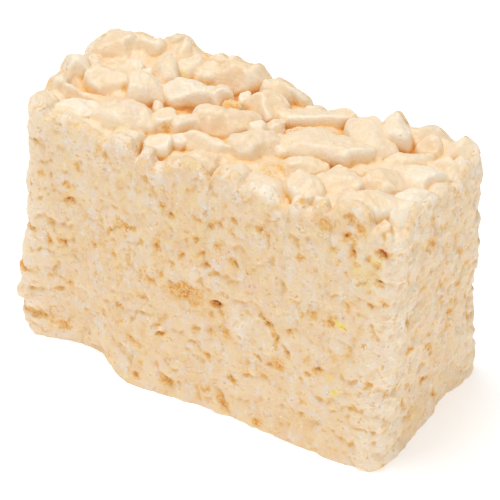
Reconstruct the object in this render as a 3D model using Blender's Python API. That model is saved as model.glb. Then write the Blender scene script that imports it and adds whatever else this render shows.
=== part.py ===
# A rice crispy treat: an upright block cut from a slab of puffed rice grains bound with marshmallow.
# The four sides are cut, so their grains lie pressed flush. The top is the slab's own surface, of
# whole coated grains. The block stands on its flat base at z = 0, with its length along X and the
# long front at -Y. Everything is laid out on a straight block, and then drawn to the true corners.

import math
import random

import bmesh
import bpy
import numpy as np
from mathutils import Matrix, Vector

# Block, in metres
LENGTH = 0.0552
WIDTH = 0.0243
HEIGHT = 0.0376
PLAN_SHIFT = (0.0004, 0.00045)  # puts the middle of the finished box on the Z axis

# Radius of each upright edge, by the signs of its x and y
EDGE_RADII = {(-1, -1): 0.0026, (1, -1): 0.0026, (1, 1): 0.0022, (-1, 1): 0.0062}
RIM_RADIUS = 0.0034  # rounding where the sides turn into the top
CROWN_ROOM = 0.0016  # how far a crown may stand above HEIGHT

# How far each corner of the block strays from a straight one, by the signs of x, y and end
CORNER_STRAYS = {
    (-1, -1, 1): (0.0013, 0.0007, -0.0005),
    (-1, 1, 1): (-0.0004, 0.0, 0.0006),
    (1, 1, 1): (0.0, -0.0007, -0.0004),
    (1, -1, 1): (0.0002, 0.0008, 0.0008),
    (-1, -1, -1): (-0.0014, -0.0003, 0.0),
    (-1, 1, -1): (-0.0004, 0.0003, 0.0),
    (1, 1, -1): (0.0008, 0.0008, 0.0),
    (1, -1, -1): (-0.0010, 0.0002, 0.0),
}

# The top sags behind the middle, and the foot of the front swells and draws in
SAG_DEPTH = 0.0021
SAG_X, SAG_Y, SAG_REACH = 0.0045, 0.0115, 0.0080
SWELL_X, SWELL_DEPTH, SWELL_REACH = -0.0075, 0.0019, 0.0070
DRAWN_IN_X, DRAWN_IN_DEPTH, DRAWN_IN_REACH = -0.0180, 0.0016, 0.0050

# Core that carries the grains, inside the outer faces
CORE_INSET = 0.0007
FOOT_INSET = 0.0002
CORE_TOP_DROP = 0.0018
CORE_BEVEL = 0.0016
CORE_CUTS = 5

# A coated grain of size 1, as half length, half width and half depth
GRAIN = (0.0037, 0.0023, 0.0021)
PLUMPNESS = 2.3  # 2 is an ellipsoid, and more is blunter
BASE_CLEARANCE = 0.0003  # the lowest a grain reaches above the flat base
BASE_SOFTNESS = 0.0005  # over this height a grain flattens towards the base

# Cut sides: sizes from first to last, and how tightly the grains lie
SIDE_SIZES = (1.14, 0.78)
SIDE_SPREAD = 0.12  # how much each half size varies, as a part of it
SIDE_TRIES = 5000
SIDE_ROOM = 0.72
SIDE_LEAN = math.radians(30)  # spread of a grain's turn from level
SIDE_TILT = 0.22  # most that a grain's end leans in or out, as a slope
SIDE_LOWEST = 0.7  # height of the lowest grain's middle, in its half widths
SIDE_DEPTH = 0.82  # depth of a grain's middle under the cut, in half depths
SIDE_LIFT = 0.0004  # most that a crown stands proud of the cut
CUT_KEEP = 0.45  # part of its height that a pressed crown keeps
SIDE_TOP_GAP = 0.0028
SIDE_SEED = 11

# Top: sizes from first to last, and how the grains lie
TOP_SIZES = (1.08, 0.66)
TOP_SPREAD = 0.15
TOP_TRIES = 4000
TOP_ROOM = 0.66
TOP_TILT = math.radians(11)
TOP_RISE = 0.0006
TOP_INSET = 0.0014
RIM_SHARE = 0.5  # part of the rim's rounding that its grains follow
TOP_SEED = 5

# Large grains that show best on top: x, y, half length, half width and turn
LANDMARK_GRAINS = (
    (0.0094, 0.0022, 0.0053, 0.0031, math.radians(14)),
    (0.0138, 0.0078, 0.0046, 0.0029, math.radians(-48)),
    (0.0040, 0.0092, 0.0042, 0.0021, math.radians(20)),
    (0.0166, -0.0040, 0.0034, 0.0026, math.radians(-26)),
    (0.0212, 0.0094, 0.0041, 0.0026, math.radians(26)),
    (0.0020, -0.0022, 0.0044, 0.0029, math.radians(-6)),
    (-0.0048, 0.0032, 0.0046, 0.0028, math.radians(22)),
    (-0.0104, 0.0056, 0.0044, 0.0025, math.radians(16)),
    (-0.0152, -0.0050, 0.0040, 0.0025, math.radians(28)),
    (-0.0226, 0.0030, 0.0027, 0.0024, math.radians(25)),
)
LANDMARK_DEPTH = 0.0023

# A grain that stands out of the front left edge: its height, size, and how far it stands out
EDGE_GRAIN_Z, EDGE_GRAIN_SIZE, EDGE_GRAIN_OUT = 0.0080, 1.05, 0.0010
EDGE_GRAIN_DEPTH = 0.2

TOP_SIDES, TOP_RINGS = 8, 5
SIDE_SIDES, SIDE_RINGS = 6, 4

NAME = "rice_crispy_treat"
CREAM = (0.88, 0.70, 0.44, 1.0)
ROUGHNESS = 0.5
SMOOTH_BELOW = math.radians(50)


def clear_scene():
    for obj in list(bpy.data.objects):
        bpy.data.objects.remove(obj, do_unlink=True)


def new_collection(name):
    collection = bpy.data.collections.new(name)
    bpy.context.scene.collection.children.link(collection)
    return collection


def cream_material():
    material = bpy.data.materials.new("coated puffed rice")
    material.use_nodes = True
    shader = material.node_tree.nodes["Principled BSDF"]
    shader.inputs["Base Color"].default_value = CREAM
    shader.inputs["Roughness"].default_value = ROUGHNESS
    material.diffuse_color = CREAM
    return material


def plan_distance(points):
    """How far each point lies outside the block's plan, and the way straight out, on the plan."""
    side = np.where(points[:, :2] < 0, -1, 1)
    radius = np.zeros(len(points))
    for signs, edge_radius in EDGE_RADII.items():
        radius[(side == signs).all(axis=1)] = edge_radius
    half = np.array([LENGTH, WIDTH]) / 2
    past = np.abs(points[:, :2]) - half + radius[:, None]
    corner = np.maximum(past, 0)
    reach = np.linalg.norm(corner, axis=1)
    distance = reach + np.minimum(past.max(axis=1), 0) - radius
    flat_way = past == past.max(axis=1, keepdims=True)
    way = np.where(reach[:, None] > 0, corner, flat_way)
    way = side * way / np.linalg.norm(way, axis=1, keepdims=True)
    return distance, way


def press_to_cut(points, lift):
    """Presses what stands past the cut sides and the rounded rim back, to a part of its height."""
    out, way = plan_distance(points)
    past = np.stack([out, points[:, 2] - HEIGHT - CROWN_ROOM], axis=1) + RIM_RADIUS
    corner = np.maximum(past, 0)
    reach = np.linalg.norm(corner, axis=1)
    distance = reach + np.minimum(past.max(axis=1), 0) - RIM_RADIUS
    excess = np.maximum(distance - lift, 0) * (1 - CUT_KEEP)
    straight = corner / np.maximum(reach, 1e-9)[:, None]
    pressed = points.copy()
    pressed[:, :2] -= way * (excess * straight[:, 0])[:, None]
    pressed[:, 2] -= excess * straight[:, 1]
    low = np.maximum(BASE_CLEARANCE + BASE_SOFTNESS - pressed[:, 2], 0)
    pressed[:, 2] += low - BASE_SOFTNESS * (1 - np.exp(-low / BASE_SOFTNESS))
    return pressed


def hump(distance, reach):
    return np.exp(-((distance / reach) ** 2))


def draw_to_corners(points):
    """Moves points of the straight block to the true one: its corners, its sag and its swollen foot."""
    share = points / np.array([LENGTH, WIDTH, HEIGHT]) + np.array([0.5, 0.5, 0.0])
    drawn = points.copy()
    for signs, stray in CORNER_STRAYS.items():
        weight = np.prod(np.where(np.array(signs) > 0, share, 1 - share), axis=1)
        drawn += weight[:, None] * np.array(stray)
    high = np.clip(share[:, 2], 0, 1) ** 3
    sag = hump(points[:, 0] - SAG_X, SAG_REACH) * hump(points[:, 1] - SAG_Y, SAG_REACH)
    drawn[:, 2] -= SAG_DEPTH * sag * high
    foot = np.clip(1 - share[:, 1], 0, 1) * np.clip(1 - share[:, 2], 0, 1) ** 2
    swell = SWELL_DEPTH * hump(points[:, 0] - SWELL_X, SWELL_REACH)
    drawn_in = DRAWN_IN_DEPTH * hump(points[:, 0] - DRAWN_IN_X, DRAWN_IN_REACH)
    drawn[:, 1] -= foot * (swell - drawn_in)
    drawn[:, :2] += np.array(PLAN_SHIFT)
    return drawn


def shape_vertices(mesh, rule):
    """Moves a mesh's vertices by a rule that works on the whole array of points."""
    flat = np.empty(len(mesh.vertices) * 3, np.float32)
    mesh.vertices.foreach_get("co", flat)
    points = rule(flat.reshape(-1, 3).astype(np.float64))
    mesh.vertices.foreach_set("co", points.astype(np.float32).ravel())
    mesh.update()


def outline_point(distance):
    """The point at a distance along the plan's outline, from the front left edge on, and the way out."""
    corners = ((1, -1), (1, 1), (-1, 1), (-1, -1))
    half = Vector((LENGTH / 2, WIDTH / 2))
    before = EDGE_RADII[(-1, -1)]
    for turn, signs in enumerate(corners):
        radius = EDGE_RADII[signs]
        along = Vector((1, 0)) if turn % 2 == 0 else Vector((0, 1))
        along *= 1 if turn < 2 else -1
        out = Vector((along.y, -along.x))
        side = LENGTH if turn % 2 == 0 else WIDTH
        straight = side - before - radius
        start = out * abs(half.dot(out)) - along * (side / 2 - before)
        if distance <= straight:
            return start + along * distance, out
        distance -= straight
        arc = radius * math.pi / 2
        if distance <= arc:
            angle = distance / radius
            way = out * math.cos(angle) + along * math.sin(angle)
            middle = start + along * straight - out * radius
            return middle + way * radius, way
        distance -= arc
        before = radius
    return outline_point(distance)


def outline_length():
    return 2 * (LENGTH + WIDTH) - (2 - math.pi / 2) * sum(EDGE_RADII.values())


def discs_along(u, v, half_length, half_width, turn):
    """Three discs that stand for a grain's outline where the grains are kept apart."""
    offset = half_length - half_width
    steps = np.array([-offset, 0, offset])
    centres = np.stack([u + steps * math.cos(turn), v + steps * math.sin(turn)], axis=1)
    return centres, np.full(3, half_width)


class Packing:
    """Grains laid out on a sheet, kept apart by their discs. The sheet may wrap round in u."""

    def __init__(self, room, wrap=None):
        self.room = room
        self.wrap = wrap
        self.centres = np.zeros((0, 2))
        self.radii = np.zeros(0)

    def takes(self, centres, radii):
        gap = centres[:, None, :] - self.centres[None, :, :]
        if self.wrap:
            gap[..., 0] -= self.wrap * np.round(gap[..., 0] / self.wrap)
        need = self.room * (radii[:, None] + self.radii[None, :])
        return bool((np.linalg.norm(gap, axis=2) >= need).all())

    def add(self, centres, radii):
        self.centres = np.concatenate([self.centres, centres])
        self.radii = np.concatenate([self.radii, radii])


def grain_frame(middle, long_axis, up_axis, half_sizes):
    """The matrix that takes a unit ball to a grain with this long axis, its depth along up_axis."""
    long_axis = long_axis.normalized()
    across = up_axis.cross(long_axis).normalized()
    depth = long_axis.cross(across)
    turn = Matrix((long_axis, across, depth)).transposed().to_4x4()
    return Matrix.Translation(middle) @ turn @ Matrix.Diagonal((*half_sizes, 1.0))


def side_grains():
    """Grains of the cut sides, as (matrix, lift) pairs, the largest laid first."""
    draw = random.Random(SIDE_SEED)
    around = outline_length()
    packing = Packing(SIDE_ROOM, wrap=around)
    grains = []
    for index in range(SIDE_TRIES):
        share = index / SIDE_TRIES
        size = SIDE_SIZES[0] + (SIDE_SIZES[1] - SIDE_SIZES[0]) * share
        half = [size * part * draw.uniform(1 - SIDE_SPREAD, 1 + SIDE_SPREAD) for part in GRAIN]
        distance = draw.uniform(0, around)
        turn = draw.gauss(0, SIDE_LEAN)
        height = draw.uniform(half[1] * SIDE_LOWEST, HEIGHT - SIDE_TOP_GAP)
        tilt = draw.uniform(-SIDE_TILT, SIDE_TILT)
        lift = draw.uniform(0, SIDE_LIFT)
        discs = discs_along(distance, height, half[0], half[1], turn)
        if not packing.takes(*discs):
            continue
        packing.add(*discs)
        spot, way = outline_point(distance)
        out = Vector((way.x, way.y, 0))
        along = Vector((-way.y, way.x, 0))
        long_axis = along * math.cos(turn) + Vector((0, 0, math.sin(turn))) + out * tilt
        middle = Vector((spot.x, spot.y, height)) - out * half[2] * SIDE_DEPTH
        grains.append((grain_frame(middle, long_axis, out, half), lift))
    return grains


def edge_grain():
    half = [EDGE_GRAIN_SIZE * part for part in GRAIN]
    out = Vector((-1, -1, 0)).normalized()
    spot = Vector((-LENGTH / 2, -WIDTH / 2, 0)) - out * EDGE_RADII[(-1, -1)] * (math.sqrt(2) - 1)
    middle = spot + Vector((0, 0, EDGE_GRAIN_Z)) - out * half[2] * EDGE_GRAIN_DEPTH
    return grain_frame(middle, Vector((1, -1, 0.2)), out, half), EDGE_GRAIN_OUT


def rim_drop(points):
    """How much lower the top's grains lie near its rim, which is rounded."""
    inside = np.clip(-plan_distance(points)[0], 0, RIM_RADIUS)
    return RIM_RADIUS - np.sqrt(RIM_RADIUS**2 - (RIM_RADIUS - inside) ** 2)


def top_grains():
    """Whole grains of the top, as (matrix, lift) pairs: the landmarks, then the largest first."""
    draw = random.Random(TOP_SEED)
    packing = Packing(TOP_ROOM)
    grains = []
    for index in range(-len(LANDMARK_GRAINS), TOP_TRIES):
        if index < 0:
            x, y, half_length, half_width, turn = LANDMARK_GRAINS[index]
            half = [half_length, half_width, LANDMARK_DEPTH]
            tilt, rise = 0.0, TOP_RISE
        else:
            size = TOP_SIZES[0] + (TOP_SIZES[1] - TOP_SIZES[0]) * index / TOP_TRIES
            half = [size * part * draw.uniform(1 - TOP_SPREAD, 1 + TOP_SPREAD) for part in GRAIN]
            x = draw.uniform(-0.5, 0.5) * (LENGTH - 2 * TOP_INSET)
            y = draw.uniform(-0.5, 0.5) * (WIDTH - 2 * TOP_INSET)
            turn = draw.uniform(-math.pi / 2, math.pi / 2)
            tilt = draw.gauss(0, TOP_TILT)
            rise = draw.uniform(-TOP_RISE, TOP_RISE)
        discs = discs_along(x, y, half[0], half[1], turn)
        spot = np.array([[x, y, HEIGHT]])
        if index >= 0 and (plan_distance(spot)[0][0] > -TOP_INSET or not packing.takes(*discs)):
            continue
        packing.add(*discs)
        z = HEIGHT - half[2] + rise - rim_drop(spot)[0] * RIM_SHARE
        long_axis = Vector((math.cos(turn), math.sin(turn), math.sin(tilt)))
        grains.append((grain_frame(Vector((x, y, z)), long_axis, Vector((0, 0, 1)), half), 0.0))
    return grains


def grain_object(name, collection, frame, lift, sides, rings):
    mesh = bpy.data.meshes.new(name)
    ball = bmesh.new()
    bmesh.ops.create_uvsphere(ball, u_segments=sides, v_segments=rings, radius=1.0)
    for vertex in ball.verts:
        vertex.co /= sum(abs(part) ** PLUMPNESS for part in vertex.co) ** (1 / PLUMPNESS)
    bmesh.ops.transform(ball, matrix=frame, verts=ball.verts)
    bmesh.ops.triangulate(ball, faces=ball.faces)
    ball.to_mesh(mesh)
    ball.free()
    shape_vertices(mesh, lambda points: draw_to_corners(press_to_cut(points, lift)))
    obj = bpy.data.objects.new(name, mesh)
    collection.objects.link(obj)
    return obj


def draw_inside_plan(points):
    """Draws the core in where an upright edge is rounder than its bevel, so that it stays inside."""
    distance, way = plan_distance(points)
    moved = points.copy()
    moved[:, :2] -= way * np.maximum(distance + FOOT_INSET, 0)[:, None]
    return moved


def core_object(collection):
    """The block under the grains: a cube with rounded edges, its base flat."""
    mesh = bpy.data.meshes.new(NAME)
    cube = bmesh.new()
    bmesh.ops.create_cube(cube, size=1.0)
    length, width = LENGTH - 2 * CORE_INSET, WIDTH - 2 * CORE_INSET
    height = HEIGHT - CORE_TOP_DROP
    bmesh.ops.scale(cube, vec=(length, width, height), verts=cube.verts)
    bmesh.ops.translate(cube, vec=(0, 0, height / 2), verts=cube.verts)
    foot = [vertex for vertex in cube.verts if vertex.co.z < height / 2]
    flare = CORE_INSET - FOOT_INSET
    bmesh.ops.scale(cube, vec=(1 + 2 * flare / length, 1 + 2 * flare / width, 1), verts=foot)
    rounded = [edge for edge in cube.edges if max(end.co.z for end in edge.verts) > height / 2]
    bmesh.ops.bevel(cube, geom=rounded, offset=CORE_BEVEL, segments=2, affect="EDGES", profile=0.5)
    lengthwise = [edge for edge in cube.edges if edge.verts[0].co.x * edge.verts[1].co.x < 0]
    bmesh.ops.subdivide_edges(cube, edges=lengthwise, cuts=CORE_CUTS)
    bmesh.ops.recalc_face_normals(cube, faces=cube.faces)
    bmesh.ops.triangulate(cube, faces=cube.faces)
    cube.to_mesh(mesh)
    cube.free()
    shape_vertices(mesh, lambda points: draw_to_corners(draw_inside_plan(points)))
    obj = bpy.data.objects.new(NAME, mesh)
    collection.objects.link(obj)
    return obj


def join_grains(core, grains):
    union = core.modifiers.new("grains", "BOOLEAN")
    union.operation = "UNION"
    union.solver = "MANIFOLD"
    union.operand_type = "COLLECTION"
    union.collection = grains
    graph = bpy.context.evaluated_depsgraph_get()
    joined = bpy.data.meshes.new_from_object(core.evaluated_get(graph))
    core.modifiers.clear()
    core.data = joined
    for obj in list(grains.objects):
        bpy.data.objects.remove(obj, do_unlink=True)
    bpy.data.collections.remove(grains)


def keep_largest_shell(mesh):
    """Drops the shells of sealed hollows and any loose scrap, so one closed surface is left."""
    surface = bmesh.new()
    surface.from_mesh(mesh)
    left = set(surface.faces)
    shells = []
    while left:
        shell = {left.pop()}
        rim = list(shell)
        while rim:
            near = {other for face in rim for edge in face.edges for other in edge.link_faces}
            rim = list(near & left)
            left -= near
            shell.update(rim)
        shells.append(shell)
    shells.sort(key=len)
    dropped = [face for shell in shells[:-1] for face in shell]
    bmesh.ops.delete(surface, geom=dropped, context="FACES")
    surface.to_mesh(mesh)
    surface.free()


def build_treat():
    clear_scene()
    treat = new_collection("rice crispy treat")
    grains = new_collection("grains")
    core = core_object(treat)
    for index, (frame, lift) in enumerate(top_grains()):
        grain_object(f"top_grain_{index}", grains, frame, lift, TOP_SIDES, TOP_RINGS)
    for index, (frame, lift) in enumerate([*side_grains(), edge_grain()]):
        grain_object(f"side_grain_{index}", grains, frame, lift, SIDE_SIDES, SIDE_RINGS)
    join_grains(core, grains)
    keep_largest_shell(core.data)
    core.data.materials.clear()
    core.data.materials.append(cream_material())
    core.data.shade_smooth()
    core.data.set_sharp_from_angle(angle=SMOOTH_BELOW)


build_treat()
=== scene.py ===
import math
import random

import bpy
import numpy as np
from mathutils import Matrix, Vector


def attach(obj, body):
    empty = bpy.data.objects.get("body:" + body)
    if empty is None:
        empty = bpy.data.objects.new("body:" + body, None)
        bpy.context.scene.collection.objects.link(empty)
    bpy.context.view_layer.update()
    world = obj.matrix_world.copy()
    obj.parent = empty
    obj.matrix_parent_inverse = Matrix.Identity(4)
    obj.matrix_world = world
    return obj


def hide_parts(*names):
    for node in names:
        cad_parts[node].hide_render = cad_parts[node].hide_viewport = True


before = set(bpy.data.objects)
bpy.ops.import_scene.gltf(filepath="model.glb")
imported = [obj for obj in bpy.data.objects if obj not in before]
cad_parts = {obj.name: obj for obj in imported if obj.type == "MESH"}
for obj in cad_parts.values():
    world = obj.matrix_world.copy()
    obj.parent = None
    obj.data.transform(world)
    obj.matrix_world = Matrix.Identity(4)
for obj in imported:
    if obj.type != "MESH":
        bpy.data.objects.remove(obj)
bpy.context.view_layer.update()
print("frame loaded")

mm = 0.001

# The block that everything is laid out on, before it is drawn to its true corners. Metres.
block = {
    "length": 0.0552,
    "width": 0.0243,
    "height": 0.0376,
    "planShift": (0.0004, 0.00045),
    "edgeRadii": {(-1, -1): 0.0026, (1, -1): 0.0026, (1, 1): 0.0022, (-1, 1): 0.0062},
    "rimRadius": 0.0034,   # where the sides turn into the top
    "cornerStrays": {
        (-1, -1, 1): (0.0013, 0.0007, -0.0005),
        (-1, 1, 1): (-0.0004, 0.0, 0.0006),
        (1, 1, 1): (0.0, -0.0007, -0.0004),
        (1, -1, 1): (0.0002, 0.0008, 0.0008),
        (-1, -1, -1): (-0.0014, -0.0003, 0.0),
        (-1, 1, -1): (-0.0004, 0.0003, 0.0),
        (1, 1, -1): (0.0008, 0.0008, 0.0),
        (1, -1, -1): (-0.0010, 0.0002, 0.0),
    },
    "sag": {"depth": 0.0021, "x": 0.0045, "y": 0.0115, "reach": 0.0080},
    "swell": {"depth": 0.0019, "x": -0.0075, "reach": 0.0070},
    "drawnIn": {"depth": 0.0016, "x": -0.0180, "reach": 0.0050},
    "grain": (0.0037, 0.0023, 0.0021),  # half length, half width, half depth at size 1
}
half = np.array([block["length"], block["width"]]) / 2


# Noise: random values on a lattice that is turned, so that it doesn't show, blended between the
# eight nearest points by smooth steps. The seed picks the pattern.
latticeTurn = np.array(Matrix.Rotation(0.9, 3, "X") @ Matrix.Rotation(0.7, 3, "Y"))


def noiseAt(points, size, seed):
    values = np.random.default_rng(seed).random((32, 32, 32)) * 2 - 1
    scaled = points @ latticeTurn / size + 100.0 + seed * 0.37
    low = np.floor(scaled).astype(int)
    part = scaled - low
    part = part * part * (3 - 2 * part)
    total = 0
    for dx in (0, 1):
        for dy in (0, 1):
            for dz in (0, 1):
                cell = (low + (dx, dy, dz)) % 32
                weight = np.prod(np.where((dx, dy, dz), part, 1 - part), axis=-1)
                total = total + weight * values[cell[..., 0], cell[..., 1], cell[..., 2]]
    return total


# A noise of its own for each of so many ways.
def noiseWays(points, size, seed, ways):
    return np.stack([noiseAt(points, size, seed + way) for way in range(ways)], -1)


# From 0 to 1 between low and high, as three squares less two cubes of the share of the way.
def smoothStep(value, low, high):
    share = np.clip((value - low) / (high - low), 0, 1)
    return share * share * (3 - 2 * share)


# How far a point lies outside the plan, a rectangle with a round of its own at each corner,
# and the way straight out.
def planDistance(points):
    side = np.where(points[..., :2] < 0, -1, 1)
    radius = np.zeros(points.shape[:-1])
    for signs, edgeRadius in block["edgeRadii"].items():
        radius[(side == signs).all(axis=-1)] = edgeRadius
    past = np.abs(points[..., :2]) - half + radius[..., None]
    corner = np.maximum(past, 0)
    reach = np.linalg.norm(corner, axis=-1)
    distance = reach + np.minimum(past.max(axis=-1), 0) - radius
    flatWay = past == past.max(axis=-1, keepdims=True)
    way = np.where(reach[..., None] > 0, corner, flatWay)
    way = side * way / np.linalg.norm(way, axis=-1, keepdims=True)
    return distance, way


# A bell: e to minus the squared distance in reaches.
def hump(distance, reach):
    return np.exp(-((distance / reach) ** 2))


# Straight block to true block: each corner's stray weighted by nearness, the top's sag, and the
# swell and hollow along the foot of the front.
def drawToCorners(points):
    share = points / np.array([*(2 * half), block["height"]]) + np.array([0.5, 0.5, 0.0])
    drawn = points.copy()
    for signs, stray in block["cornerStrays"].items():
        weight = np.prod(np.where(np.array(signs) > 0, share, 1 - share), axis=-1)
        drawn += weight[..., None] * np.array(stray)
    sag, swell, drawnIn = block["sag"], block["swell"], block["drawnIn"]
    high = np.clip(share[..., 2], 0, 1) ** 3
    dip = hump(points[..., 0] - sag["x"], sag["reach"]) * hump(points[..., 1] - sag["y"], sag["reach"])
    drawn[..., 2] -= sag["depth"] * dip * high
    foot = np.clip(1 - share[..., 1], 0, 1) * np.clip(1 - share[..., 2], 0, 1) ** 2
    forward = swell["depth"] * hump(points[..., 0] - swell["x"], swell["reach"])
    back = drawnIn["depth"] * hump(points[..., 0] - drawnIn["x"], drawnIn["reach"])
    drawn[..., 1] -= foot * (forward - back)
    drawn[..., :2] += np.array(block["planShift"])
    return drawn


# The plan's outline by the distance along it, from the end of the front left round: four straight
# sides, each followed by a quarter circle. Gives the points and the ways out.
def outlineAt(distance):
    distance = np.asarray(distance, float)
    spot = np.zeros((*distance.shape, 2))
    way = np.zeros((*distance.shape, 2))
    start = 0.0
    before = block["edgeRadii"][(-1, -1)]
    for turn, signs in enumerate(((1, -1), (1, 1), (-1, 1), (-1, -1))):
        radius = block["edgeRadii"][signs]
        along = np.array([(1, 0), (0, 1), (-1, 0), (0, -1)][turn], float)
        out = np.array([along[1], -along[0]])
        side = 2 * half[turn % 2]
        straight = side - before - radius
        corner = out * abs(half @ out) - along * (side / 2 - before)
        on = (distance >= start) & (distance <= start + straight)
        spot[on] = corner + along * (distance[on] - start)[:, None]
        way[on] = out
        start += straight
        arc = radius * math.pi / 2
        on = (distance > start) & (distance <= start + arc + 1e-9)
        angle = (distance[on] - start) / radius
        way[on] = out * np.cos(angle)[:, None] + along * np.sin(angle)[:, None]
        spot[on] = corner + along * straight - out * radius + way[on] * radius
        start += arc
        before = radius
    return spot, way


around = 4 * half.sum() - (2 - math.pi / 2) * sum(block["edgeRadii"].values())


# Half sizes of the next grain to try. They shrink from the first try to the last, and spread.
def triedSizes(rule, index, spread, draw):
    size = rule["sizes"][0] + (rule["sizes"][1] - rule["sizes"][0]) * index / rule["tries"]
    return [size * part * draw.uniform(1 - spread, 1 + spread) for part in block["grain"]]


# Three discs along a grain, which keep the grains apart.
def discsAlong(u, v, halfLength, halfWidth, turn):
    steps = np.array([-1, 0, 1]) * (halfLength - halfWidth)
    centres = np.stack([u + steps * math.cos(turn), v + steps * math.sin(turn)], axis=1)
    return centres, np.full(3, halfWidth)


# Discs laid so far, and whether others would lie clear enough of them.
class Packing:
    def __init__(self, wrap=None):
        self.wrap = wrap
        self.centres = np.zeros((0, 2))
        self.radii = np.zeros(0)

    def takes(self, centres, radii, room):
        gap = centres[:, None, :] - self.centres[None, :, :]
        if self.wrap:
            gap[..., 0] -= self.wrap * np.round(gap[..., 0] / self.wrap)
        need = room * (radii[:, None] + self.radii[None, :])
        return bool((np.linalg.norm(gap, axis=2) >= need).all())

    def add(self, centres, radii):
        self.centres = np.concatenate([self.centres, centres])
        self.radii = np.concatenate([self.radii, radii])


# Grains of the cut sides: distance along the outline, height, half length, half width and turn. The
# large ones follow the solid's seeded rule, and the small ones fill what is left between them.
sideGrains = {
    "large": {"sizes": (1.14, 0.78), "tries": 5000, "room": 0.72, "seed": 11},
    "small": {"sizes": (0.76, 0.34), "tries": 9000, "room": 0.70, "seed": 12},
    "spread": 0.12,
    "lean": math.radians(30),  # spread of a grain's turn from level
    "lowest": 0.7,             # least height of a middle, in half widths
    "topGap": 0.0028,
}


def laySideGrains():
    packing = Packing(wrap=around)
    found = []
    for kind in ("large", "small"):
        rule = sideGrains[kind]
        draw = random.Random(rule["seed"])
        for index in range(rule["tries"]):
            halfSizes = triedSizes(rule, index, sideGrains["spread"], draw)
            distance = draw.uniform(0, around)
            turn = draw.gauss(0, sideGrains["lean"])
            lowest = halfSizes[1] * sideGrains["lowest"]
            height = draw.uniform(lowest, block["height"] - sideGrains["topGap"])
            for _ in range(2):  # the solid's tilt and lift, drawn to keep in step with it
                draw.random()
            discs = discsAlong(distance, height, halfSizes[0], halfSizes[1], turn)
            if packing.takes(*discs, rule["room"]):
                packing.add(*discs)
                found.append((distance, height, *halfSizes[:2], turn))
    return found


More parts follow.
